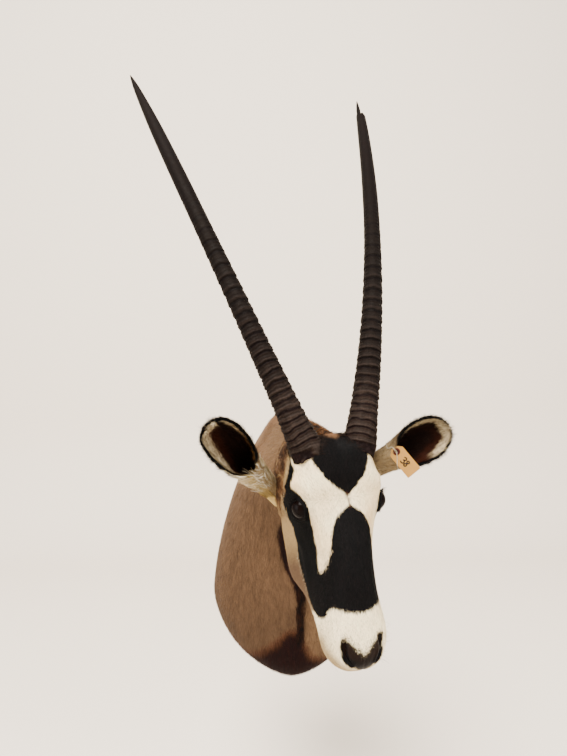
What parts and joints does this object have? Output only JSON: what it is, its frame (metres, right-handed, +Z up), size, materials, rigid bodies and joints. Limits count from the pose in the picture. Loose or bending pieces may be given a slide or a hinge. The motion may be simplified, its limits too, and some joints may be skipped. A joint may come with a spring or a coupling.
{
  "type": "gemsbok shoulder mount",
  "caption": "Wall-hung shoulder mount of a gemsbok, with two long ringed horns, ears, glass eyes and a card tag on a string.",
  "frame": {"origin": "middle of the back board's rear face, on the wall plane", "axes": "+Y into the wall, +Z up, +X to the animal's left; the face looks along -Y"},
  "size_m": [0.5487, 0.5127, 1.1915],
  "materials": {
    "hide": "short tan hair with black and white face markings",
    "horn": "satin dark keratin, ringed below and smooth above",
    "ear": "dark hair inside, cream band and black rim",
    "eye": "polished dark glass",
    "board": "dark stained plywood",
    "steel": "zinc plated",
    "card": "matte manila card",
    "patch": "matte red-brown fibre",
    "string": "twisted cotton"
  },
  "bodies": {
    "root": {"hide": "hide", "horn_left": "horn", "horn_right": "horn", "ear_left": "ear", "ear_right": "ear", "eye_left": "eye", "eye_right": "eye", "back_board": "board", "hanger_plate": "steel", "hanger_screw_top": "steel", "hanger_screw_bottom": "steel", "tag_card": "card", "tag_patch": "patch", "tag_string": "string"}
  },
  "joints": []
}
